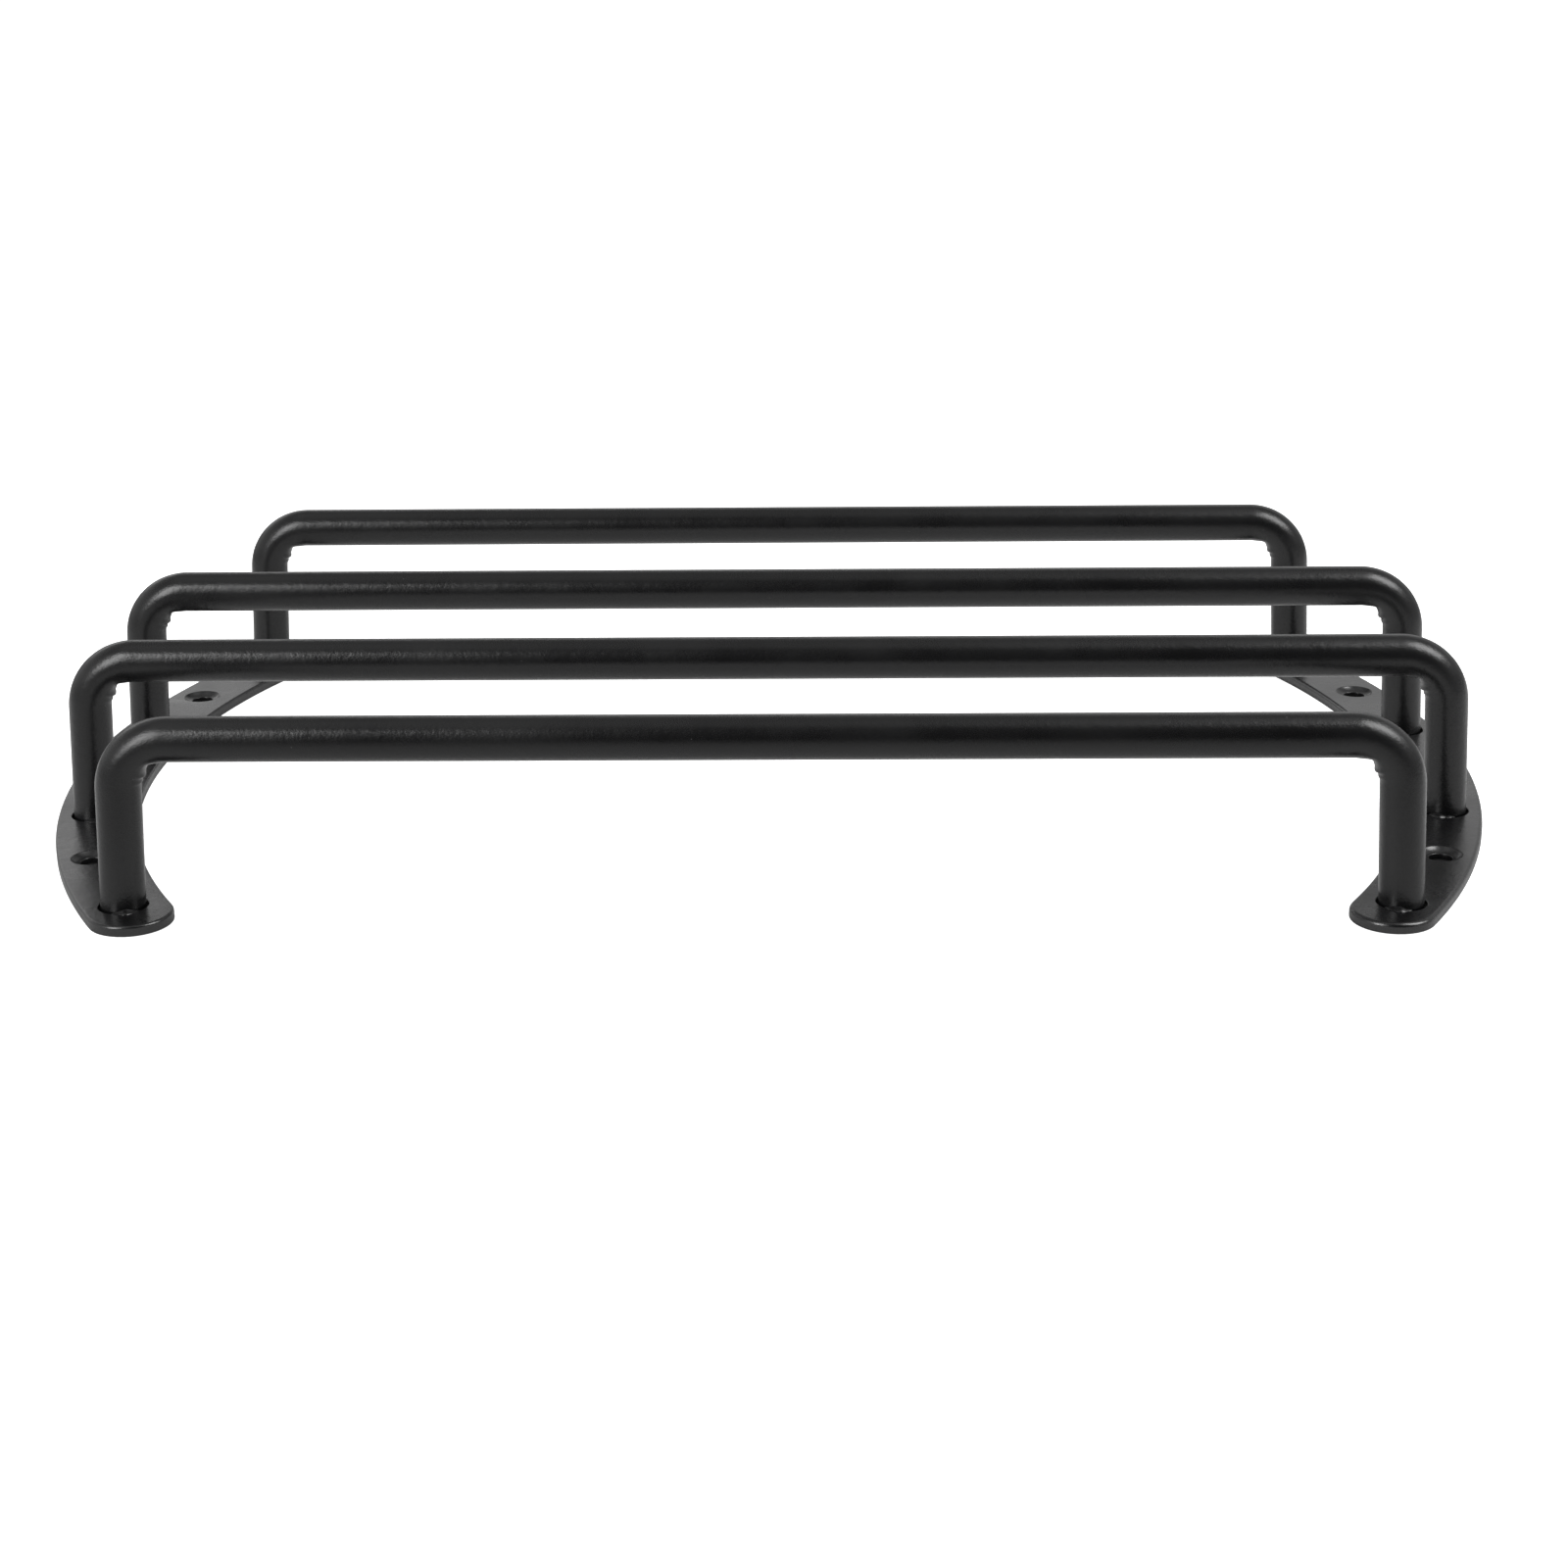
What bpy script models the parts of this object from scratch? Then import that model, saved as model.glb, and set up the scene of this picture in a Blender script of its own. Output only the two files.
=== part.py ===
"""Fixed tubular luggage rack.

Four U-shaped hoops of bent steel tube stand side by side. Their legs pass through two curved
flat plates and are welded in from below. The plates screw down to a flat carrier through
four holes in dished seats. The frame is X across, Y from front to rear and Z up, in metres. The
origin is on the mounting plane, in the middle of the rack.
"""
import math

import bmesh
import bpy

# Tube and hoops
TUBE_RADIUS = 0.0061                # 12 mm tube under 0.1 mm of coat
TUBE_WALL = 0.0015
BEND_RADIUS = 0.014                 # centre line of the bends
BAR_HEIGHT = 0.050                  # centre line of the bars above the mounting plane
LEG_SPLAY = math.radians(2.8)       # the legs lean outward, going down
HOOPS = {                           # name: (place along Y, half span between the leg axes at the bar)
    "front_hoop": (-0.1134, 0.1692),
    "front_middle_hoop": (-0.0416, 0.1953),
    "rear_middle_hoop": (0.0334, 0.1969),
    "rear_hoop": (0.1152, 0.1740),
}

# Plates: a strip along an arc, with round ends
PLATE_THICKNESS = 0.003
PLATE_ARC_RADIUS = 0.243
PLATE_ARC_CENTRE = (-0.042, 0.0039)
PLATE_INNER_WIDTH = 0.0113          # from the arc to the inner edge
PLATE_OUTER_WIDTH = 0.0117          # from the arc to the outer edge, over the front half
PLATE_REAR_OUTER_WIDTH = 0.0106     # the same near the rear end
TAPER_START = 0.5                   # where along the plate it narrows, from 0 at the front to 1
TAPER_END = 0.85
PLATE_FRONT_OVERHANG = 0.005        # arc length from the front leg axis to the round end's centre
PLATE_REAR_OVERHANG = 0.0033
PLATE_EDGE_ROUND = 0.0007
LEG_HOLE_RADIUS = 0.00675
WELD_CHAMFER = 0.001

# M6 screw holes in dished seats: the right plate's places (x, y)
SCREW_PLACES = ((0.1893, -0.0774), (0.1914, 0.0729))
SCREW_RADIUS = 0.0033
SEAT_RADIUS = 0.0059
SEAT_DEPTH = 0.0013
SEAT_STEPS = 3

# Clearance between parts that would touch, and how finely round shapes are faceted
GAP = 0.0003
CUT_MARGIN = 0.001
BEND_STEPS = 8
TUBE_BEVEL_RESOLUTION = 8           # 20 sides
TURN_STEPS = 24
EDGE_STEPS = 20
END_STEPS = 10
MERGE_DISTANCE = 0.00001

LEG_END_HEIGHT = PLATE_THICKNESS / 2
COATED_STEEL = (0.018, 0.018, 0.019, 1.0)


def clear_scene():
    for item in list(bpy.data.objects):
        bpy.data.objects.remove(item, do_unlink=True)


def new_collection(name):
    collection = bpy.data.collections.new(name)
    bpy.context.scene.collection.children.link(collection)
    return collection


def coated_steel(name, roughness):
    material = bpy.data.materials.new(name)
    material.use_nodes = True
    shader = material.node_tree.nodes["Principled BSDF"]
    shader.inputs["Base Color"].default_value = COATED_STEEL
    shader.inputs["Roughness"].default_value = roughness
    shader.inputs["Metallic"].default_value = 0.0
    return material


def leg_x(half_span, height):
    """Distance of a leg's axis from the middle of the rack at a height."""
    return half_span + (BAR_HEIGHT - height) * math.tan(LEG_SPLAY)


def hoop_centre_line(half_span):
    """The points (x, z) of one hoop, from the left leg's lower end to the right leg's."""
    turn = math.pi / 2 - LEG_SPLAY
    tangent = BEND_RADIUS * math.tan(turn / 2)
    bend_x = half_span - tangent
    bend_z = BAR_HEIGHT - BEND_RADIUS
    right_bend = []
    for step in range(BEND_STEPS + 1):
        angle = math.pi / 2 - turn * step / BEND_STEPS
        x = bend_x + BEND_RADIUS * math.cos(angle)
        z = bend_z + BEND_RADIUS * math.sin(angle)
        right_bend.append((x, z))
    right = right_bend + [(leg_x(half_span, LEG_END_HEIGHT), LEG_END_HEIGHT)]
    left = [(-x, z) for x, z in reversed(right)]
    return left + right


def make_hoop(name, y, half_span, material, collection):
    points = hoop_centre_line(half_span)
    curve = bpy.data.curves.new(name, "CURVE")
    curve.dimensions = "3D"
    curve.bevel_depth = TUBE_RADIUS
    curve.bevel_resolution = TUBE_BEVEL_RESOLUTION
    curve.use_fill_caps = False
    spline = curve.splines.new("POLY")
    spline.points.add(len(points) - 1)
    for point, (x, z) in zip(spline.points, points):
        point.co = (x, 0.0, z, 1.0)
    curve.materials.append(material)
    guide = bpy.data.objects.new(name + "_path", curve)
    collection.objects.link(guide)
    hoop = mesh_from_curve(guide, name, collection)
    hoop.location.y = y
    wall = hoop.modifiers.new("Wall", "SOLIDIFY")
    wall.thickness = TUBE_WALL
    wall.offset = -1.0
    wall.use_even_offset = True
    return hoop


def mesh_from_curve(guide, name, collection):
    """Replaces a curve object by a mesh object with its caps welded on."""
    bpy.context.view_layer.update()
    evaluated = guide.evaluated_get(bpy.context.evaluated_depsgraph_get())
    mesh = bpy.data.meshes.new_from_object(evaluated)
    mesh.name = name
    shape = bmesh.new()
    shape.from_mesh(mesh)
    bmesh.ops.remove_doubles(shape, verts=shape.verts, dist=MERGE_DISTANCE)
    bmesh.ops.recalc_face_normals(shape, faces=shape.faces)
    shape.to_mesh(mesh)
    shape.free()
    mesh.shade_smooth()
    mesh.set_sharp_from_angle(angle=math.radians(30))
    piece = bpy.data.objects.new(name, mesh)
    piece.matrix_world = guide.matrix_world
    collection.objects.link(piece)
    bpy.data.objects.remove(guide, do_unlink=True)
    return piece


def arc_point(angle, radius):
    return (
        PLATE_ARC_CENTRE[0] + radius * math.cos(angle),
        PLATE_ARC_CENTRE[1] + radius * math.sin(angle),
    )


def outer_width(fraction):
    """From the arc to the outer edge: constant over the front half, then easing in toward the rear."""
    reach = min(1.0, max(0.0, (fraction - TAPER_START) / (TAPER_END - TAPER_START)))
    taper = reach * reach * (3 - 2 * reach)
    return PLATE_OUTER_WIDTH + (PLATE_REAR_OUTER_WIDTH - PLATE_OUTER_WIDTH) * taper


def round_end(angle, outer, direction):
    """A half circle that closes the strip, from its outer to its inner edge or back."""
    centre = arc_point(angle, PLATE_ARC_RADIUS + (outer - PLATE_INNER_WIDTH) / 2)
    half_width = (outer + PLATE_INNER_WIDTH) / 2
    points = []
    for step in range(1, END_STEPS):
        turn = angle + direction * math.pi * step / END_STEPS
        points.append((centre[0] + half_width * math.cos(turn), centre[1] + half_width * math.sin(turn)))
    return points


def plate_outline():
    """The right plate's outline (x, y), anticlockwise, from the front end of its outer edge."""
    front_y = HOOPS["front_hoop"][0] - PLATE_ARC_CENTRE[1]
    rear_y = HOOPS["rear_hoop"][0] - PLATE_ARC_CENTRE[1]
    start = math.asin(front_y / PLATE_ARC_RADIUS) - PLATE_FRONT_OVERHANG / PLATE_ARC_RADIUS
    end = math.asin(rear_y / PLATE_ARC_RADIUS) + PLATE_REAR_OVERHANG / PLATE_ARC_RADIUS
    outer = []
    inner = []
    for step in range(EDGE_STEPS + 1):
        fraction = step / EDGE_STEPS
        angle = start + (end - start) * fraction
        outer.append(arc_point(angle, PLATE_ARC_RADIUS + outer_width(fraction)))
        inner.append(arc_point(angle, PLATE_ARC_RADIUS - PLATE_INNER_WIDTH))
    rear = round_end(end, outer_width(1.0), 1)
    front = list(reversed(round_end(start, outer_width(0.0), -1)))
    return outer + rear + list(reversed(inner)) + front


def make_plate(name, side, material, collection, cutters):
    outline = plate_outline()
    curve = bpy.data.curves.new(name, "CURVE")
    curve.dimensions = "2D"
    curve.fill_mode = "BOTH"
    curve.extrude = PLATE_THICKNESS / 2
    spline = curve.splines.new("POLY")
    spline.points.add(len(outline) - 1)
    for point, (x, y) in zip(spline.points, outline):
        point.co = (side * x, y, 0.0, 1.0)
    spline.use_cyclic_u = True
    curve.materials.append(material)
    guide = bpy.data.objects.new(name + "_outline", curve)
    guide.location.z = PLATE_THICKNESS / 2
    collection.objects.link(guide)
    plate = mesh_from_curve(guide, name, collection)
    rounding = plate.modifiers.new("Edges", "BEVEL")
    rounding.width = PLATE_EDGE_ROUND
    rounding.segments = 2
    rounding.limit_method = "ANGLE"
    rounding.angle_limit = math.radians(60)
    for cutter in cutters:
        cut = plate.modifiers.new(cutter.name, "BOOLEAN")
        cut.operation = "DIFFERENCE"
        cut.solver = "EXACT"
        cut.object = cutter
    return plate


def turned(name, profile, place, collection):
    """A solid of revolution about Z; the profile (radius, z) runs down its outer side."""
    mesh = bpy.data.meshes.new(name)
    verts = [(radius, 0.0, z) for radius, z in profile]
    closed = profile[0][0] > 0
    edges = [(i, i + 1) for i in range(len(verts) - 1)]
    if closed:
        edges.append((len(verts) - 1, 0))
    mesh.from_pydata(verts, edges, [])
    piece = bpy.data.objects.new(name, mesh)
    piece.location = place
    collection.objects.link(piece)
    screw = piece.modifiers.new("Turn", "SCREW")
    screw.axis = "Z"
    screw.steps = TURN_STEPS
    screw.render_steps = TURN_STEPS
    screw.use_merge_vertices = True
    screw.merge_threshold = MERGE_DISTANCE
    screw.use_smooth_shade = True
    return piece


def make_cutter(name, profile, place, collection):
    cutter = turned(name, profile, place, collection)
    cutter.hide_render = True
    cutter.display_type = "WIRE"
    return cutter


def leg_hole_profile():
    top = PLATE_THICKNESS + CUT_MARGIN
    low_radius = LEG_HOLE_RADIUS + WELD_CHAMFER + CUT_MARGIN
    return [
        (0.0, top),
        (LEG_HOLE_RADIUS, top),
        (LEG_HOLE_RADIUS, WELD_CHAMFER),
        (low_radius, -CUT_MARGIN),
        (0.0, -CUT_MARGIN),
    ]


def screw_hole_profile():
    """A straight hole in a dish, whose side steepens from level at the hole to 45 degrees at the rim."""
    profile = [(0.0, PLATE_THICKNESS + CUT_MARGIN), (SEAT_RADIUS + CUT_MARGIN, PLATE_THICKNESS + CUT_MARGIN)]
    for step in range(SEAT_STEPS, -1, -1):
        reach = step / SEAT_STEPS
        radius = SCREW_RADIUS + (SEAT_RADIUS - SCREW_RADIUS) * reach
        profile.append((radius, PLATE_THICKNESS - SEAT_DEPTH * (1 - reach**2)))
    return profile + [(SCREW_RADIUS, -CUT_MARGIN), (0.0, -CUT_MARGIN)]


def weld_bead_profile():
    """A ring under the tube's end, inside the chamfer and just above the mounting plane."""
    top = LEG_END_HEIGHT - TUBE_RADIUS * math.sin(LEG_SPLAY) - GAP
    inner = TUBE_RADIUS - TUBE_WALL
    crown = GAP / 2
    outer_top = LEG_HOLE_RADIUS + WELD_CHAMFER - top - 1.5 * GAP
    outer_low = LEG_HOLE_RADIUS + WELD_CHAMFER - crown - 1.5 * GAP
    return [
        (inner, top),
        (outer_top, top),
        (outer_low, crown),
        (inner, crown),
    ]


def leg_places(side):
    """Name and place of each leg of one side, where its axis crosses the plate's middle."""
    places = {}
    for name, (y, half_span) in HOOPS.items():
        places[name] = (side * leg_x(half_span, PLATE_THICKNESS / 2), y, 0.0)
    return places


def make_plate_cutters(side_name, side, collection):
    cutters = []
    for name, place in leg_places(side).items():
        cutters.append(make_cutter(f"{side_name}_{name}_hole", leg_hole_profile(), place, collection))
    for index, (x, y) in enumerate(SCREW_PLACES, 1):
        place = (side * x, y, 0.0)
        name = f"{side_name}_screw_hole_{index}"
        cutters.append(make_cutter(name, screw_hole_profile(), place, collection))
    return cutters


def make_welds(side_name, side, material, collection):
    for name, place in leg_places(side).items():
        bead = turned(f"{side_name}_{name}_weld", weld_bead_profile(), place, collection)
        bead.data.materials.append(material)


def build():
    clear_scene()
    parts = new_collection("luggage_rack")
    cutters = new_collection("cutters")
    tube_coat = coated_steel("coated_tube", 0.42)
    plate_coat = coated_steel("coated_plate", 0.45)
    weld_coat = coated_steel("coated_weld", 0.55)
    for name, (y, half_span) in HOOPS.items():
        make_hoop(name, y, half_span, tube_coat, parts)
    for side_name, side in (("left", -1), ("right", 1)):
        holes = make_plate_cutters(side_name, side, cutters)
        make_plate(f"{side_name}_plate", side, plate_coat, parts, holes)
        make_welds(side_name, side, weld_coat, parts)


build()
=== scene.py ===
import math
import random

import bmesh
import bpy
from mathutils import Matrix, Vector


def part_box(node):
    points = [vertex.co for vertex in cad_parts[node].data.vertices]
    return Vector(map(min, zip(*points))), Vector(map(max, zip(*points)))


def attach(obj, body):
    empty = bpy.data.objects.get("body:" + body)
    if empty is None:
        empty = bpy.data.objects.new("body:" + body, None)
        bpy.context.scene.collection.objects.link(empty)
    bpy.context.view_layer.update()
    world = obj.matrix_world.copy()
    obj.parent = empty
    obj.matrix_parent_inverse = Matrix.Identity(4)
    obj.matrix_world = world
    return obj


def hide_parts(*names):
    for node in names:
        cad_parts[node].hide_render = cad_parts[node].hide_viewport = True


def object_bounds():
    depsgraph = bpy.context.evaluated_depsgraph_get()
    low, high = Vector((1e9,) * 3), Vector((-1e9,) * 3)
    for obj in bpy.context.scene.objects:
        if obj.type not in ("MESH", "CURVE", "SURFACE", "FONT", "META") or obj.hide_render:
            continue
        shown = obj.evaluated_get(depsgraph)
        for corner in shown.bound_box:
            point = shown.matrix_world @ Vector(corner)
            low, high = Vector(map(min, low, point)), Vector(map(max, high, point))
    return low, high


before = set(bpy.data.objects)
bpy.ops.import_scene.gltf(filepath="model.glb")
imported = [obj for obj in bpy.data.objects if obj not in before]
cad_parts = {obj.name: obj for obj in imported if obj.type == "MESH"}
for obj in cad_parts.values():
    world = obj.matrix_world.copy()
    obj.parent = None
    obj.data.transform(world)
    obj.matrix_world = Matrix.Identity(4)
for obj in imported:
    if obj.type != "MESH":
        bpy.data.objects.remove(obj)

# Everything is in metres, in the rack's own frame: X across, Y to the rear, Z up.
CAD_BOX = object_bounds()
SIDES = {"left": -1, "right": 1}

# The camera looks down on the rack from the front, a little right of its middle.
CAMERA_PLACE = (0.0240, -0.7979, 0.2780)
CAMERA_YAW = math.radians(-1.415)
CAMERA_PITCH = math.radians(19.40)
CAMERA_ROLL = math.radians(0.67)
CAMERA_LENS = 63.1
CAMERA_SENSOR = 36.0

# Powder coat. Scales are in features per metre, and the grain and waves are as high as this many peels.
PEEL_SCALE = 1500.0
GRAIN_SCALE = 5200.0
GRAIN_HEIGHT = 0.35
WAVE_SCALE = 450.0
WAVE_HEIGHT = 1.3
PATCH_SCALE = 45.0
NOISE_SPAN = (0.3, 0.7)
PATCH_ROUGHNESS = (-0.03, 0.04)
PATCH_TINT = (0.85, 1.2)
GRAIN_ROUGHNESS = (-0.02, 0.02)
CORNER_SPAN = (0.52, 0.62)
CORNER_ROUGHNESS = -0.06
SPECK_SCALE = 420.0
SPECK_SIZE = 0.07
SPECK_RARITY = 0.93
SPECK_COLOUR = (0.05, 0.05, 0.05, 1.0)

# Hoops
HOOPS = ("front_hoop", "front_middle_hoop", "rear_middle_hoop", "rear_hoop")
TUBE_WALL = 0.0015
BEND_RADIUS = 0.014
LEG_SPLAY = math.radians(2.8)
TUBE_SIDES = 48
LEG_RINGS = 6
BEND_RINGS = 36
BAR_RINGS = 12
BEND_FLATTENING = 0.022
BEND_WIDENING = 0.012
WRINKLE_NARROWNESS = 2.5
TUBE_SHARP = 40

# Plates. Places are the right plate's, and the left one mirrors it but for a sharper top edge.
PLATE_ARC_RADIUS = 0.243
PLATE_ARC_CENTRE = (-0.042, 0.0039)
PLATE_INNER_WIDTH = 0.0113
PLATE_OUTER_WIDTH = 0.01165
PLATE_REAR_OUTER_WIDTH = 0.01057
TAPER_START = 0.5
TAPER_END = 0.85
PLATE_FRONT_OVERHANG = 0.0049
PLATE_REAR_OVERHANG = 0.00318
PLATE_TOP_ROUND = {SIDES["left"]: 0.0008, SIDES["right"]: 0.0012}
PLATE_TOP_STEPS = 6
PLATE_LOW_ROUND = 0.00025
PLATE_LOW_STEPS = 2
PLATE_SPARE_DEPTH = 0.0003
PLATE_MERGE_DISTANCE = 0.000002
PLATE_EDGE_STEPS = 64
PLATE_END_STEPS = 20
PLATE_SHARP = 35
LEG_HOLE_RADIUS = 0.00675
LEG_HOLE_ROUND = 0.0003
LEG_HOLE_STEPS = 5
SCREW_PLACES = ((0.1893, -0.0774), (0.1914, 0.0729))
SCREW_RADIUS = 0.0033
SEAT_RADIUS = 0.0059
SEAT_DEPTH = 0.0013
SEAT_STEPS = 10
SEAT_FOOT_ROUND = 0.0002
SEAT_FOOT_STEPS = 4
SEAT_RIM_ROUND = 0.0005
SEAT_RIM_STEPS = 6
SEAT_RIM_NORMAL = math.radians(132)
HOLE_SIDES = 72
CUTTER_SPARE = 0.001
CUTTER_LEAN = 0.0001

# Weld beads. The lip's spans are angles from straight ahead toward the middle of the rack, in degrees.
WELD_CHAMFER = 0.001
WELD_RIPPLES = 34
WELD_STEPS = WELD_RIPPLES * 10
WELD_CLEARANCE = 0.00004
WELD_TOP_CLEARANCE = 0.00008
WELD_SINK = 0.00022
WELD_SHARP = 60
RIPPLE_HEIGHT = 0.00014
RIPPLE_SKEW = 1.6
LIP_RISES = (-30, -12)
LIP_FALLS = (50, 68)
LIP_SPREADS = (-16, 8)
LIP_DRAWS_IN = (34, 54)
LIP_SINK = 0.0002
LIP_ABOVE_PLATE = 0.0001
LIP_HEIGHT = 0.0004
LIP_HEIGHT_LUMPS = 0.0002
LIP_REACH = 0.0011
LIP_REACH_LUMPS = 0.0004

# Floor. Levels are how pale it is in the rack's reflections, by Y and by distance from the middle plane:
# painted shade, with the floor's colour darker toward the front, the rear and the sides where its light would
# fall off.
# The shade's reach is in radii of a screw hole, and its level is the part of the floor's light left there.
FLOOR_SIZE = 12.0
FLOOR_GAP = 0.0002
FLOOR_FRONT_SPAN = (-0.45, 0.05)
FLOOR_FRONT_LEVELS = (0.23, 0.78)
FLOOR_REAR_SPAN = (0.15, 0.45)
FLOOR_REAR_LEVELS = (1.0, 0.5)
FLOOR_SIDE_SPAN = (0.28, 0.7)
FLOOR_SIDE_LEVELS = (1.0, 0.65)
SHADE_REACH = 1.4
SHADE_UNDER_HOLES = 0.012

# Room. Spans are X, Y or Z of the direction looked in, or how nearly it is the dark patch's.
# Levels are strengths of the room's light.
ROOM_LEVELS = (0.72, 0.42)
ROOM_HIGH_SPAN = (0.35, 0.9)
ROOM_HIGH_LEVELS = (1.0, 0.5)
DARK_PATCH = (0.15, -0.85, 0.50)
DARK_SPAN = (0.62, 0.92)
DARK_DEPTH = 0.97
CEILING_SPAN = (0.84, 0.96)
CEILING_RIGHT_SPAN = (0.0, 0.3)
CEILING_RIGHT_LEVEL = 0.7
CEILING_LEFT_SPAN = (-0.3, -0.03)
CEILING_LEFT_LEVEL = 0.45
WALL_SPAN = (0.5, 0.8)
WALL_DULL_SPAN = (-0.25, 0.2)
WALL_DULL_DEPTH = 0.55
STRIP_FOOT_SPAN = (0.16, 0.28)
STRIP_HEAD_SPAN = (0.37, 0.48)
STRIP_SIDE_SPAN = (-0.4, 0.4)
STRIP_LEVELS = (1.30, 0.05)

TUBE_RADIUS = (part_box(HOOPS[0])[1].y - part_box(HOOPS[0])[0].y) / 2
BAR_HEIGHT = CAD_BOX[1].z - TUBE_RADIUS
PLATE_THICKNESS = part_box("left_plate")[1].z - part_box("left_plate")[0].z
LEG_END_HEIGHT = PLATE_THICKNESS / 2

# A bead reaches from the bore of the tube out to the chamfer, and up the gap between the leg and its hole.
BEAD_INNER = TUBE_RADIUS - TUBE_WALL
BEAD_TOP = LEG_END_HEIGHT - TUBE_RADIUS * math.sin(LEG_SPLAY) - WELD_TOP_CLEARANCE
GAP_IN = TUBE_RADIUS + WELD_CLEARANCE
GAP_OUT = LEG_HOLE_RADIUS - WELD_CLEARANCE
GAP_MID = (GAP_IN + GAP_OUT) / 2


# ---------------------------------------------------------------- helpers

def ease(value, low, high):
    """Smooth step from 0 at low to 1 at high."""
    t = min(1.0, max(0.0, (value - low) / (high - low)))
    return t * t * (3 - 2 * t)


def polar(centre, radius, angle):
    """The point at a distance and an angle from a centre, in the plane."""
    return (centre[0] + radius * math.cos(angle), centre[1] + radius * math.sin(angle))


def hoop_y(name):
    low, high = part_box(name)
    return (low.y + high.y) / 2


def half_span(name):
    """Half the distance between the leg axes at the bar's height."""
    at_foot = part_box(name)[1].x - TUBE_RADIUS * math.cos(LEG_SPLAY)
    return at_foot - (BAR_HEIGHT - LEG_END_HEIGHT) * math.tan(LEG_SPLAY)


def leg_x(name, height):
    return half_span(name) + (BAR_HEIGHT - height) * math.tan(LEG_SPLAY)


def foot_place(name, side):
    """Where a leg's axis crosses the middle of its plate."""
    return (side * leg_x(name, PLATE_THICKNESS / 2), hoop_y(name))


def add_object(name, data):
    thing = bpy.data.objects.new(name, data)
    bpy.context.scene.collection.objects.link(thing)
    return thing


def add_mesh(name, shape):
    """Turns a finished bmesh into an object."""
    mesh = bpy.data.meshes.new(name)
    shape.to_mesh(mesh)
    shape.free()
    return add_object(name, mesh)


def finished_mesh(thing):
    """A new mesh of an object as its curve settings or modifiers leave it."""
    bpy.context.view_layer.update()
    evaluated = thing.evaluated_get(bpy.context.evaluated_depsgraph_get())
    return bpy.data.meshes.new_from_object(evaluated)


def coat(mesh, material, sharp_degrees):
    """One material and smooth faces, with sharp edges where they turn by more than the angle."""
    mesh.materials.clear()
    mesh.materials.append(material)
    mesh.shade_smooth()
    mesh.set_sharp_from_angle(angle=math.radians(sharp_degrees))


def add_band(shape, first, second):
    """A closed band of faces between two rings of equally many corners."""
    count = len(first)
    for i in range(count):
        j = (i + 1) % count
        shape.faces.new((first[i], first[j], second[j], second[i]))


def finish_piece(piece, slot, *nodes):
    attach(piece, "root")
    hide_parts(*nodes)


# ---------------------------------------------------------------- camera

def make_camera():
    flat = math.cos(CAMERA_PITCH)
    forward = Vector((math.sin(CAMERA_YAW) * flat, math.cos(CAMERA_YAW) * flat, -math.sin(CAMERA_PITCH)))
    level_right = Vector((math.cos(CAMERA_YAW), -math.sin(CAMERA_YAW), 0.0))
    level_up = level_right.cross(forward)
    right = math.cos(CAMERA_ROLL) * level_right - math.sin(CAMERA_ROLL) * level_up
    up = math.cos(CAMERA_ROLL) * level_up + math.sin(CAMERA_ROLL) * level_right
    data = bpy.data.cameras.new("camera")
    data.sensor_width = CAMERA_SENSOR
    data.lens = CAMERA_LENS
    data.clip_start = 0.01
    data.clip_end = 50.0
    camera = add_object("camera", data)
    turn = Matrix((right, up, -forward)).transposed().to_4x4()
    camera.matrix_world = Matrix.Translation(CAMERA_PLACE) @ turn
    bpy.context.scene.camera = camera


# ---------------------------------------------------------------- materials

class Graph:
    """Adds nodes to the node tree of one material or world."""

    def __init__(self, owner):
        owner.use_nodes = True
        self.nodes = owner.node_tree.nodes
        self.links = owner.node_tree.links

    def add(self, kind):
        return self.nodes.new(f"ShaderNode{kind}")

    def feed(self, socket, value):
        """Gives an input a plain value, or links it to another node's output."""
        if isinstance(value, bpy.types.NodeSocket):
            self.links.new(value, socket)
        else:
            socket.default_value = value

    def noise(self, place, scale, detail, roughness):
        node = self.add("TexNoise")
        self.feed(node.inputs["Scale"], scale)
        self.feed(node.inputs["Detail"], detail)
        self.feed(node.inputs["Roughness"], roughness)
        self.feed(node.inputs["Vector"], place)
        return node.outputs["Fac"]

    def straight(self, value, span, levels):
        """Goes from the first level to the second while the value goes through the span."""
        node = self.add("MapRange")
        self.feed(node.inputs["From Min"], span[0])
        self.feed(node.inputs["From Max"], span[1])
        self.feed(node.inputs["To Min"], levels[0])
        self.feed(node.inputs["To Max"], levels[1])
        self.feed(node.inputs["Value"], value)
        return node.outputs["Result"]

    def smooth(self, value, span, levels):
        """Does what straight does, with soft ends."""
        result = self.straight(value, span, levels)
        result.node.interpolation_type = "SMOOTHSTEP"
        return result

    def combine(self, operation, first, second=0.0):
        node = self.add("Math")
        node.operation = operation
        self.feed(node.inputs[0], first)
        self.feed(node.inputs[1], second)
        return node.outputs["Value"]

    def compare(self, operation, first, second):
        """The distance or the dot product of two vectors."""
        node = self.add("VectorMath")
        node.operation = operation
        self.feed(node.inputs[0], first)
        self.feed(node.inputs[1], second)
        return node.outputs["Value"]

    def split(self, vector):
        """The X, Y and Z outputs of a vector."""
        node = self.add("SeparateXYZ")
        self.feed(node.inputs["Vector"], vector)
        return node.outputs


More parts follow.
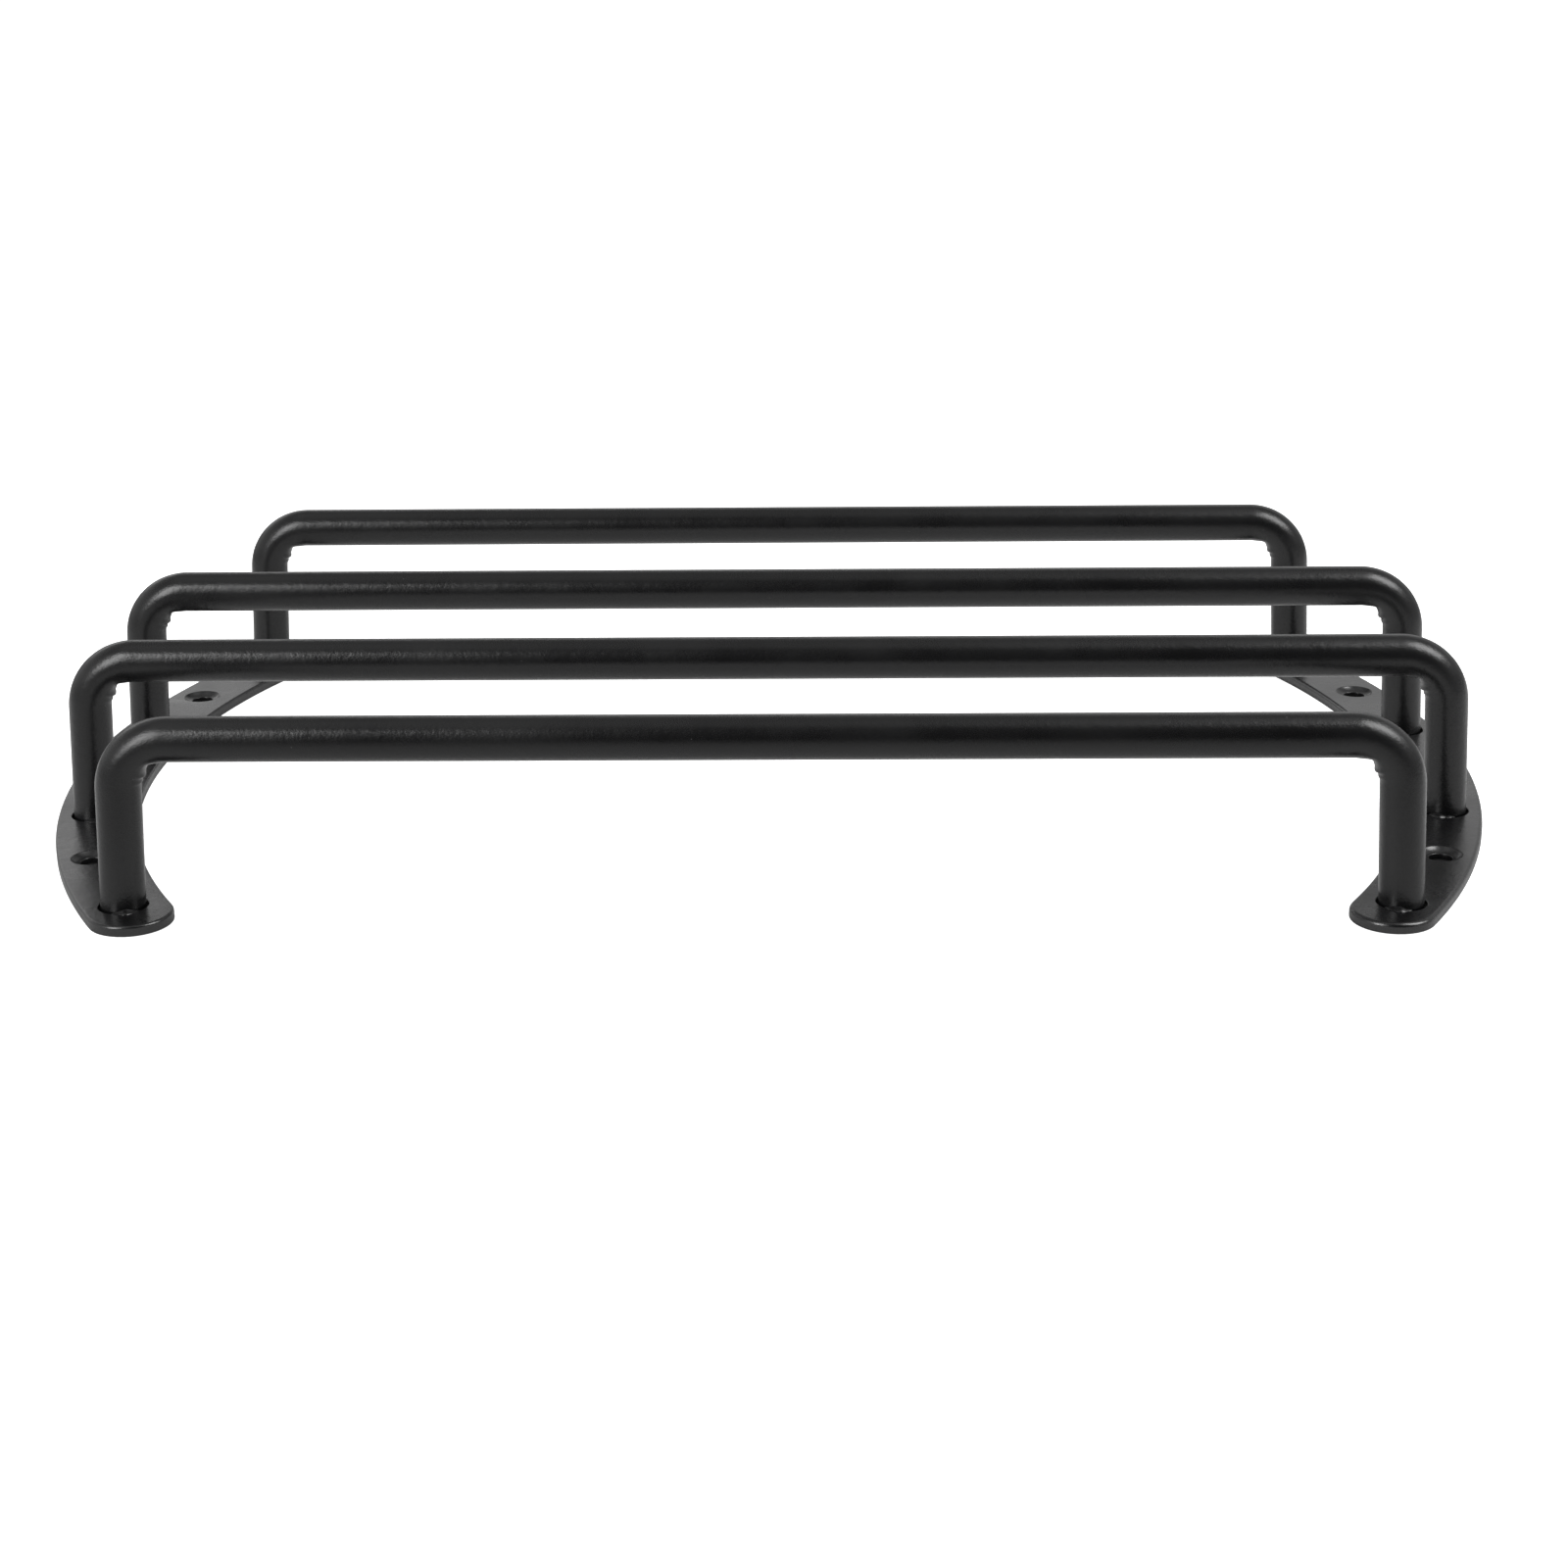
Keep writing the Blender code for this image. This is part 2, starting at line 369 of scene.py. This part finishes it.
def powder_coat(name, base, roughness, peel, ior):
    """Satin black powder coat: orange peel, fine grain, soft roughness patches and rare specks."""
    material = bpy.data.materials.new(name)
    graph = Graph(material)
    shader = graph.nodes["Principled BSDF"]
    graph.feed(shader.inputs["Metallic"], 0.0)
    graph.feed(shader.inputs["IOR"], ior)
    place = graph.add("TexCoord").outputs["Object"]

    peel_height = graph.noise(place, PEEL_SCALE, detail=2.0, roughness=0.5)
    grain = graph.noise(place, GRAIN_SCALE, detail=2.0, roughness=0.6)
    waves = graph.noise(place, WAVE_SCALE, detail=1.0, roughness=0.5)
    patches = graph.noise(place, PATCH_SCALE, detail=3.0, roughness=0.55)

    fine = graph.combine("MULTIPLY", grain, GRAIN_HEIGHT)
    broad = graph.combine("MULTIPLY", waves, WAVE_HEIGHT)
    height = graph.combine("ADD", graph.combine("ADD", peel_height, fine), broad)
    bump = graph.add("Bump")
    graph.feed(bump.inputs["Strength"], 1.0)
    graph.feed(bump.inputs["Distance"], peel)
    graph.feed(bump.inputs["Height"], height)
    graph.feed(shader.inputs["Normal"], bump.outputs["Normal"])

    # Corners carry a thinner and slightly glossier coat.
    pointed = graph.add("NewGeometry").outputs["Pointiness"]
    corner = graph.straight(pointed, CORNER_SPAN, (0.0, 1.0))
    glossier = graph.combine("MULTIPLY", corner, CORNER_ROUGHNESS)
    patch_levels = [roughness + change for change in PATCH_ROUGHNESS]
    mottled = graph.straight(patches, NOISE_SPAN, patch_levels)
    grained = graph.combine("ADD", mottled, graph.straight(grain, NOISE_SPAN, GRAIN_ROUGHNESS))
    graph.feed(shader.inputs["Roughness"], graph.combine("ADD", grained, glossier))

    # Specks of dust and nibs in the coat, a few tenths of a millimetre across.
    cells = graph.add("TexVoronoi")
    graph.feed(cells.inputs["Scale"], SPECK_SCALE)
    graph.feed(cells.inputs["Vector"], place)
    near = graph.combine("LESS_THAN", cells.outputs["Distance"], SPECK_SIZE)
    chance = graph.add("SeparateColor")
    graph.feed(chance.inputs["Color"], cells.outputs["Color"])
    rare = graph.combine("GREATER_THAN", chance.outputs["Red"], SPECK_RARITY)
    speck = graph.combine("MULTIPLY", near, rare)

    ramp = graph.add("ValToRGB")
    for stop, position, tint in zip(ramp.color_ramp.elements, NOISE_SPAN, PATCH_TINT):
        stop.position = position
        stop.color = (*[c * tint for c in base], 1.0)
    graph.feed(ramp.inputs["Fac"], patches)
    mix = graph.add("Mix")
    mix.data_type = "RGBA"
    # A mix node keeps an input of each kind, and 6, 7 and output 2 are its colours.
    graph.feed(mix.inputs["Factor"], speck)
    graph.feed(mix.inputs[6], ramp.outputs["Color"])
    graph.feed(mix.inputs[7], SPECK_COLOUR)
    graph.feed(shader.inputs["Base Color"], mix.outputs[2])
    return material


# ---------------------------------------------------------------- hoops

def bend_stations(name, side):
    """Rings of one leg and its bend, from the leg's end up: (x, z, outward direction, bend angle or None)."""
    turn = math.pi / 2 - LEG_SPLAY
    tangent = BEND_RADIUS * math.tan(turn / 2)
    bend_x = half_span(name) - tangent
    bend_z = BAR_HEIGHT - BEND_RADIUS
    leg_out = (math.cos(LEG_SPLAY), math.sin(LEG_SPLAY))
    bend_start = bend_z + BEND_RADIUS * leg_out[1]
    stations = []
    for step in range(LEG_RINGS):
        z = LEG_END_HEIGHT + (bend_start - LEG_END_HEIGHT) * step / LEG_RINGS
        stations.append((leg_x(name, z), z, leg_out, None))
    for step in range(BEND_RINGS + 1):
        bend = turn * step / BEND_RINGS
        out = (math.cos(LEG_SPLAY + bend), math.sin(LEG_SPLAY + bend))
        stations.append((bend_x + BEND_RADIUS * out[0], bend_z + BEND_RADIUS * out[1], out, bend))
    return [(side * x, z, (side * out[0], out[1]), bend) for x, z, out, bend in stations]


def wrinkle_marks(seed):
    """Compression marks as (angle up the bend, half width, height): two small folds under one long dent."""
    dice = random.Random(seed)
    shift = dice.uniform(-2.5, 2.5)
    return [
        (15 + shift, 3.6, 0.00030 * dice.uniform(0.7, 1.2)),
        (29 + shift, 4.4, 0.00062 * dice.uniform(0.85, 1.15)),
        (52 + shift, 12.0, -0.00095 * dice.uniform(0.85, 1.1)),
    ]


def wrinkle(bend, marks):
    """How far the inner wall of a bend stands proud of the round tube, in metres."""
    degrees = math.degrees(bend)
    return sum(height * math.exp(-(((degrees - middle) / width) ** 2)) for middle, width, height in marks)


def ring(station, radius, marks, y):
    """Points round the tube, from the bend's outer side toward the rear, so that rings line up all along."""
    x, z, out, bend = station
    swell = math.sin(math.pi * bend / (math.pi / 2 - LEG_SPLAY)) if bend is not None else 0.0
    width = radius * (1 + BEND_WIDENING * swell)
    points = []
    for step in range(TUBE_SIDES):
        turn = 2 * math.pi * step / TUBE_SIDES
        outward, across = math.cos(turn), math.sin(turn)
        reach = radius * (1 - BEND_FLATTENING * swell * outward * outward)
        if bend is not None and outward < 0:
            reach += wrinkle(bend, marks) * (-outward) ** WRINKLE_NARROWNESS
        points.append((x + out[0] * reach * outward, y + width * across, z + out[1] * reach * outward))
    return points


def hoop_rings(name, radius, marks):
    """All rings of a hoop, up the left leg, along the bar and down the right leg."""
    y = hoop_y(name)
    left = bend_stations(name, SIDES["left"])
    right = bend_stations(name, SIDES["right"])
    rings = [ring(station, radius, marks[SIDES["left"]], y) for station in left]
    bar_end = left[-1][0]
    for step in range(1, BAR_RINGS):
        station = (bar_end * (1 - 2 * step / BAR_RINGS), BAR_HEIGHT, (0.0, 1.0), None)
        rings.append(ring(station, radius, None, y))
    rings += [ring(station, radius, marks[SIDES["right"]], y) for station in reversed(right)]
    return rings


def make_hoop(name, material):
    marks = {side: wrinkle_marks(f"{name}{side}") for side in SIDES.values()}
    shape = bmesh.new()
    skins = []
    for radius in (TUBE_RADIUS, TUBE_RADIUS - TUBE_WALL):
        skins.append([[shape.verts.new(p) for p in points] for points in hoop_rings(name, radius, marks)])
    for skin in skins:
        for first, second in zip(skin, skin[1:]):
            add_band(shape, first, second)
    outer, inner = skins
    for end in (0, -1):
        add_band(shape, outer[end], inner[end])
    bmesh.ops.recalc_face_normals(shape, faces=shape.faces)
    hoop = add_mesh(f"{name}_tube", shape)
    coat(hoop.data, material, TUBE_SHARP)
    finish_piece(hoop, "coated_tube", name)


# ---------------------------------------------------------------- plates

def outer_width(fraction):
    """How far the plate reaches outside its arc, from its front at 0 to its rear at 1."""
    taper = ease(fraction, TAPER_START, TAPER_END)
    return PLATE_OUTER_WIDTH + (PLATE_REAR_OUTER_WIDTH - PLATE_OUTER_WIDTH) * taper


def round_end(angle, outer, direction):
    """Half a circle round a plate's end, without its first and last points."""
    centre = polar(PLATE_ARC_CENTRE, PLATE_ARC_RADIUS + (outer - PLATE_INNER_WIDTH) / 2, angle)
    radius = (outer + PLATE_INNER_WIDTH) / 2
    turns = [angle + direction * math.pi * step / PLATE_END_STEPS for step in range(1, PLATE_END_STEPS)]
    return [polar(centre, radius, turn) for turn in turns]


def plate_outline():
    """The right plate from above, round its arc."""
    front_y = hoop_y("front_hoop") - PLATE_ARC_CENTRE[1]
    rear_y = hoop_y("rear_hoop") - PLATE_ARC_CENTRE[1]
    start = math.asin(front_y / PLATE_ARC_RADIUS) - PLATE_FRONT_OVERHANG / PLATE_ARC_RADIUS
    end = math.asin(rear_y / PLATE_ARC_RADIUS) + PLATE_REAR_OVERHANG / PLATE_ARC_RADIUS
    outer, inner = [], []
    for step in range(PLATE_EDGE_STEPS + 1):
        fraction = step / PLATE_EDGE_STEPS
        angle = start + (end - start) * fraction
        outer.append(polar(PLATE_ARC_CENTRE, PLATE_ARC_RADIUS + outer_width(fraction), angle))
        inner.append(polar(PLATE_ARC_CENTRE, PLATE_ARC_RADIUS - PLATE_INNER_WIDTH, angle))
    rear = round_end(end, outer_width(1.0), 1)
    front = round_end(start, outer_width(0.0), -1)
    return outer + rear + inner[::-1] + front[::-1]


def flat_plate(side):
    """The plate without its holes: top edge rounded, lower edge nearly sharp.

    It is made a little too deep, with both edges rounded, and cut off level at Z = 0.
    """
    top_round = PLATE_TOP_ROUND[side]
    deep = PLATE_THICKNESS + top_round + PLATE_SPARE_DEPTH
    curve = bpy.data.curves.new("plate_outline", "CURVE")
    curve.dimensions = "2D"
    curve.fill_mode = "BOTH"
    curve.extrude = deep / 2 - top_round
    curve.bevel_depth = top_round
    curve.bevel_resolution = PLATE_TOP_STEPS
    curve.offset = -top_round
    outline = plate_outline()
    spline = curve.splines.new("POLY")
    spline.points.add(len(outline) - 1)
    for point, (x, y) in zip(spline.points, outline):
        point.co = (side * x, y, 0.0, 1.0)
    spline.use_cyclic_u = True
    guide = add_object("plate_outline", curve)
    guide.location.z = PLATE_THICKNESS - deep / 2
    mesh = finished_mesh(guide)
    mesh.transform(guide.matrix_world)
    bpy.data.objects.remove(guide, do_unlink=True)
    shape = bmesh.new()
    shape.from_mesh(mesh)
    bpy.data.meshes.remove(mesh)
    bmesh.ops.remove_doubles(shape, verts=shape.verts, dist=PLATE_MERGE_DISTANCE)
    everything = shape.verts[:] + shape.edges[:] + shape.faces[:]
    level = {"plane_co": (0, 0, 0), "plane_no": (0, 0, 1)}
    cut = bmesh.ops.bisect_plane(shape, geom=everything, clear_inner=True, **level)
    rim = [item for item in cut["geom_cut"] if isinstance(item, bmesh.types.BMEdge)]
    bmesh.ops.contextual_create(shape, geom=rim)
    bmesh.ops.recalc_face_normals(shape, faces=shape.faces)
    size = {"offset": PLATE_LOW_ROUND, "segments": PLATE_LOW_STEPS, "profile": 0.5}
    bmesh.ops.bevel(shape, geom=rim, affect="EDGES", **size)
    return shape


def rounded_corner(corner_r, corner_z, radius, start, end, steps):
    """Points of a rounded corner between two straight runs.

    start and end are the angles at which the plate's surface faces on the two runs.
    """
    half = (end - start) / 2
    reach = radius / math.cos(half)
    middle = (start + end) / 2
    centre = (corner_r - reach * math.cos(middle), corner_z - reach * math.sin(middle))
    return [polar(centre, radius, start + (end - start) * step / steps) for step in range(steps + 1)]


def above_plate(point):
    """The last point of a hole's profile, just over the plate's top."""
    return (point[0] + CUTTER_LEAN, PLATE_THICKNESS + CUTTER_SPARE)


def screw_hole_profile():
    """(radius, z) from below: a straight hole, a dish that steepens to 45 degrees and a soft rim."""
    profile = [(SCREW_RADIUS, -CUTTER_SPARE)]
    seat_foot = (SCREW_RADIUS, PLATE_THICKNESS - SEAT_DEPTH)
    profile += rounded_corner(*seat_foot, SEAT_FOOT_ROUND, math.pi, math.pi / 2, SEAT_FOOT_STEPS)
    for step in range(1, SEAT_STEPS):
        reach = step / SEAT_STEPS
        radius = SCREW_RADIUS + (SEAT_RADIUS - SCREW_RADIUS) * reach
        profile.append((radius, PLATE_THICKNESS - SEAT_DEPTH * (1 - reach**2)))
    seat_rim = (SEAT_RADIUS, PLATE_THICKNESS)
    profile += rounded_corner(*seat_rim, SEAT_RIM_ROUND, SEAT_RIM_NORMAL, math.pi / 2, SEAT_RIM_STEPS)
    return profile + [above_plate(profile[-1])]


def leg_hole_profile():
    """(radius, z) from below: the weld's chamfer, a straight hole and a soft rim."""
    chamfer = [
        (LEG_HOLE_RADIUS + WELD_CHAMFER + CUTTER_SPARE, -CUTTER_SPARE),
        (LEG_HOLE_RADIUS, WELD_CHAMFER),
    ]
    top = (LEG_HOLE_RADIUS, PLATE_THICKNESS)
    rim = rounded_corner(*top, LEG_HOLE_ROUND, math.pi, math.pi / 2, LEG_HOLE_STEPS)
    return chamfer + rim + [above_plate(rim[-1])]


def turned_cutter(place, profile):
    """A closed turned mesh about an upright axis."""
    shape = bmesh.new()
    columns = []
    for step in range(HOLE_SIDES):
        turn = 2 * math.pi * step / HOLE_SIDES
        columns.append([shape.verts.new((*polar(place, r, turn), z)) for r, z in profile])
    for first, second in zip(columns, columns[1:] + columns[:1]):
        for i in range(len(profile) - 1):
            shape.faces.new((first[i], second[i], second[i + 1], first[i + 1]))
    shape.faces.new([column[0] for column in columns])
    shape.faces.new([column[-1] for column in columns])
    bmesh.ops.recalc_face_normals(shape, faces=shape.faces)
    cutter = add_mesh("cutter", shape)
    cutter.hide_render = True
    return cutter


def make_plate(side_name, side, material):
    plate = add_mesh(f"{side_name}_foot_plate", flat_plate(side))
    coat(plate.data, material, PLATE_SHARP)
    cutters = [turned_cutter((side * x, y), screw_hole_profile()) for x, y in SCREW_PLACES]
    cutters += [turned_cutter(foot_place(name, side), leg_hole_profile()) for name in HOOPS]
    for cutter in cutters:
        cut = plate.modifiers.new("Hole", "BOOLEAN")
        cut.operation = "DIFFERENCE"
        cut.solver = "EXACT"
        cut.object = cutter
    mesh = finished_mesh(plate)
    plate.modifiers.clear()
    plate.data = mesh
    coat(mesh, material, PLATE_SHARP)
    for cutter in cutters:
        bpy.data.objects.remove(cutter, do_unlink=True)
    even = plate.modifiers.new("Flat normals", "WEIGHTED_NORMAL")
    even.keep_sharp = True
    finish_piece(plate, "coated_plate", f"{side_name}_plate")


# ---------------------------------------------------------------- weld beads

def lip_shape(inward, phase):
    """How far the bead's lip has come up the gap (0 to 1) and spread over the plate (0 to 1), and its lumps.

    inward is the angle from straight ahead toward the middle of the rack, in degrees.
    """
    rise = ease(inward, *LIP_RISES) * (1 - ease(inward, *LIP_FALLS))
    spread = ease(inward, *LIP_SPREADS) * (1 - ease(inward, *LIP_DRAWS_IN))
    around = math.radians(inward)
    lumps = 0.7 * math.sin(around * 7 + phase) + 0.3 * math.sin(around * 13 + 2 * phase)
    return rise, spread, lumps


def bead_profile(turn, start, side):
    """(radius, z) round the bead's section at one turn about the leg, from the tube's bore outward."""
    # A ripple stands out most where it begins, and fades toward the next.
    phase = (turn - start) * WELD_RIPPLES / (2 * math.pi)
    ripple = 1 - (phase % 1.0) ** RIPPLE_SKEW
    low = WELD_SINK - RIPPLE_HEIGHT * ripple
    wobble = 0.00010 * math.sin(3 * turn + start) + 0.00006 * math.sin(7 * turn + 2 * start)
    wide = LEG_HOLE_RADIUS + WELD_CHAMFER - 0.00006 + 0.5 * wobble

    # Straight ahead is -Y, and inward is toward the middle of the rack.
    inward = math.degrees(math.atan2(-side * math.cos(turn), -math.sin(turn)))
    rise, spread, lumps = lip_shape(inward, start)
    over = spread * (LIP_REACH + LIP_REACH_LUMPS * lumps)
    lip = LEG_END_HEIGHT - LIP_SINK
    lip += rise * (PLATE_THICKNESS + LIP_ABOVE_PLATE - lip) + spread * (LIP_HEIGHT + LIP_HEIGHT_LUMPS * lumps)

    underside = [
        (BEAD_INNER + 0.0004, low + 0.0002),
        (BEAD_INNER + 0.0009, low + 0.00005),
        (GAP_MID - 0.0003, low),
        (wide - low - 0.0008, low + 0.00002),
        (wide - low - 0.0003, low + 0.00012),
        (wide - low - 0.0002, low + 0.0003),
    ]
    up_the_chamfer = [
        (wide - 0.0008, 0.0007),
        (GAP_OUT + 0.00008, WELD_CHAMFER - 0.0001),
    ]
    out_over_the_plate = [
        (GAP_OUT, min(lip - 0.0003, PLATE_THICKNESS - LEG_HOLE_ROUND)),
        (GAP_OUT + 0.4 * over, min(lip - 0.0002, PLATE_THICKNESS + 0.00003)),
        (GAP_OUT + over, min(lip - 0.0001, PLATE_THICKNESS + 0.00004)),
        (GAP_OUT + 0.85 * over, lip - 0.0001 - 0.18 * over),
    ]
    back_to_the_leg = [
        (GAP_OUT + 0.4 * over, lip - 0.00003),
        (GAP_MID, lip + 0.00002 + 0.12 * over),
        (GAP_IN + 0.00012, lip + 0.00002 + 0.2 * over),
        (GAP_IN, lip - 0.00005 + 0.2 * over),
    ]
    under_the_leg = [
        (GAP_IN, BEAD_TOP + WELD_TOP_CLEARANCE),
        (GAP_IN - 0.0001, BEAD_TOP),
        (BEAD_INNER + 0.0002, BEAD_TOP),
        (BEAD_INNER, BEAD_TOP - 0.0002),
        (BEAD_INNER + 0.0001, low + 0.0005),
    ]
    return underside + up_the_chamfer + out_over_the_plate + back_to_the_leg + under_the_leg


def make_weld(side_name, side, name, material):
    """A rippled bead in the plate's chamfer below the leg, with a lip up the gap in front of the leg."""
    dice = random.Random(f"weld{side_name}{name}")
    start = dice.uniform(0, 2 * math.pi)
    x0, y0 = foot_place(name, side)
    shape = bmesh.new()
    sections = []
    for step in range(WELD_STEPS):
        turn = 2 * math.pi * step / WELD_STEPS
        section = []
        for r, z in bead_profile(turn, start, side):
            # What stands beside the leg leans with it.
            beside_leg = r < GAP_MID and z > BEAD_TOP
            lean = side * (PLATE_THICKNESS / 2 - z) * math.tan(LEG_SPLAY) if beside_leg else 0.0
            section.append(shape.verts.new((*polar((x0 + lean, y0), r, turn), z)))
        sections.append(section)
    for first, second in zip(sections, sections[1:] + sections[:1]):
        add_band(shape, first, second)
    bmesh.ops.recalc_face_normals(shape, faces=shape.faces)
    bead = add_mesh(f"{side_name}_{name}_weld_bead", shape)
    coat(bead.data, material, WELD_SHARP)
    finish_piece(bead, "coated_weld", f"{side_name}_{name}_weld")


# ---------------------------------------------------------------- studio

def make_floor():
    """The camera sees it as pure white, but under the screw holes it is in deep shade.

    That shade is a mask on the floor, and isn't cast by the rack.
    """
    shape = bmesh.new()
    bmesh.ops.create_grid(shape, x_segments=1, y_segments=1, size=FLOOR_SIZE)
    material = bpy.data.materials.new("pale_floor")
    graph = Graph(material)
    shader = graph.nodes["Principled BSDF"]
    graph.feed(shader.inputs["Roughness"], 0.9)
    graph.feed(shader.inputs["Specular IOR Level"], 0.0)
    graph.feed(shader.inputs["Emission Color"], (1.0, 1.0, 1.0, 1.0))
    place = graph.split(graph.add("TexCoord").outputs["Object"])
    seen = graph.add("LightPath").outputs["Is Camera Ray"]
    aside = graph.combine("ABSOLUTE", place["X"])
    # Painted shade: the floor's colour is darker toward the front, the rear and the sides where its light
    # would fall off, and only the rack's reflections show it.
    pale = graph.smooth(place["Y"], FLOOR_FRONT_SPAN, FLOOR_FRONT_LEVELS)
    rear = graph.smooth(place["Y"], FLOOR_REAR_SPAN, FLOOR_REAR_LEVELS)
    pale = graph.combine("MULTIPLY", pale, rear)
    sides = graph.smooth(aside, FLOOR_SIDE_SPAN, FLOOR_SIDE_LEVELS)
    pale = graph.combine("MULTIPLY", pale, sides)
    half = graph.add("CombineXYZ")
    graph.feed(half.inputs["X"], aside)
    graph.feed(half.inputs["Y"], place["Y"])
    for x, y in SCREW_PLACES:
        distance = graph.compare("DISTANCE", half.outputs["Vector"], (x, y, 0.0))
        clear = graph.combine("GREATER_THAN", distance, SHADE_REACH * SCREW_RADIUS)
        clear = graph.combine("MAXIMUM", clear, SHADE_UNDER_HOLES)
        seen = graph.combine("MULTIPLY", seen, clear)
        pale = graph.combine("MULTIPLY", pale, clear)
    graph.feed(shader.inputs["Emission Strength"], seen)
    colour = graph.add("CombineColor")
    for socket in colour.inputs[:3]:
        graph.feed(socket, pale)
    graph.feed(shader.inputs["Base Color"], colour.outputs["Color"])
    floor = add_mesh("floor", shape)
    floor.data.materials.append(material)
    floor.location.z = CAD_BOX[0].z - FLOOR_GAP


def make_world():
    """A pale room, brighter on the left, with a dark patch 30 degrees up on the camera's side."""
    world = bpy.data.worlds.new("studio")
    bpy.context.scene.world = world
    graph = Graph(world)
    direction = graph.add("TexCoord").outputs["Generated"]
    toward = graph.split(direction)
    room = graph.straight(toward["X"], (-1.0, 1.0), ROOM_LEVELS)
    room = graph.combine("MULTIPLY", room, graph.smooth(toward["Z"], ROOM_HIGH_SPAN, ROOM_HIGH_LEVELS))

    # The wall behind the rack is duller toward the left.
    wall = graph.smooth(toward["Y"], WALL_SPAN, (0.0, 1.0))
    dull = graph.smooth(toward["X"], WALL_DULL_SPAN, (WALL_DULL_DEPTH, 0.0))
    duller = graph.combine("SUBTRACT", 1.0, graph.combine("MULTIPLY", wall, dull))
    room = graph.combine("MULTIPLY", room, duller)

    near_patch = graph.compare("DOT_PRODUCT", direction, DARK_PATCH)
    dark = graph.smooth(near_patch, DARK_SPAN, (0.0, DARK_DEPTH))
    light = graph.combine("MULTIPLY", room, graph.combine("SUBTRACT", 1.0, dark))

    # The ceiling is brighter toward both sides than in its middle.
    ceiling = graph.smooth(toward["Z"], CEILING_SPAN, (0.0, 1.0))
    right = graph.smooth(toward["X"], CEILING_RIGHT_SPAN, (0.0, CEILING_RIGHT_LEVEL))
    left = graph.smooth(toward["X"], CEILING_LEFT_SPAN, (CEILING_LEFT_LEVEL, 0.0))
    ceiling = graph.combine("MULTIPLY", ceiling, graph.combine("ADD", left, right))
    light = graph.combine("ADD", light, ceiling)

    # A lit strip of the wall behind the rack, which the plates' level tops mirror.
    strip = graph.smooth(toward["Z"], STRIP_FOOT_SPAN, (0.0, 1.0))
    strip = graph.combine("MULTIPLY", strip, graph.smooth(toward["Z"], STRIP_HEAD_SPAN, (1.0, 0.0)))
    strip = graph.combine("MULTIPLY", strip, graph.straight(toward["X"], STRIP_SIDE_SPAN, STRIP_LEVELS))
    light = graph.combine("ADD", light, graph.combine("MULTIPLY", wall, strip))

    # The camera sees the room as pure white.
    seen = graph.add("LightPath").outputs["Is Camera Ray"]
    background = graph.nodes["Background"]
    graph.feed(background.inputs["Strength"], graph.combine("MAXIMUM", light, seen))
    graph.feed(background.inputs["Color"], (1.0, 1.0, 1.0, 1.0))


def softbox(name, place, width, height, power):
    """A lit panel that faces the rack's middle."""
    data = bpy.data.lights.new(name, "AREA")
    data.shape = "RECTANGLE"
    data.size = width
    data.size_y = height
    data.energy = power
    light = add_object(name, data)
    light.location = place
    light.rotation_mode = "QUATERNION"
    light.rotation_quaternion = (-Vector(place)).to_track_quat("-Z", "Y")
    light.visible_camera = False


def build():
    bpy.context.scene.view_settings.view_transform = "Standard"
    make_camera()
    black = (0.0045, 0.0045, 0.0048)
    plate_black = (0.0050, 0.0050, 0.0053)
    tube = powder_coat("powder_coat_tube", black, roughness=0.28, peel=0.000045, ior=1.5)
    plate = powder_coat("powder_coat_plate", plate_black, roughness=0.28, peel=0.000034, ior=1.64)
    weld = powder_coat("powder_coat_weld", black, roughness=0.29, peel=0.000045, ior=1.5)
    for name in HOOPS:
        make_hoop(name, tube)
    for side_name, side in SIDES.items():
        make_plate(side_name, side, plate)
        for name in HOOPS:
            make_weld(side_name, side, name, weld)
    make_floor()
    make_world()
    softbox("left_softbox", (-0.735, -0.873, 0.665), width=0.42, height=0.86, power=10.0)
    softbox("right_softbox", (0.870, -0.250, 0.945), width=0.62, height=0.76, power=11.6)


build()
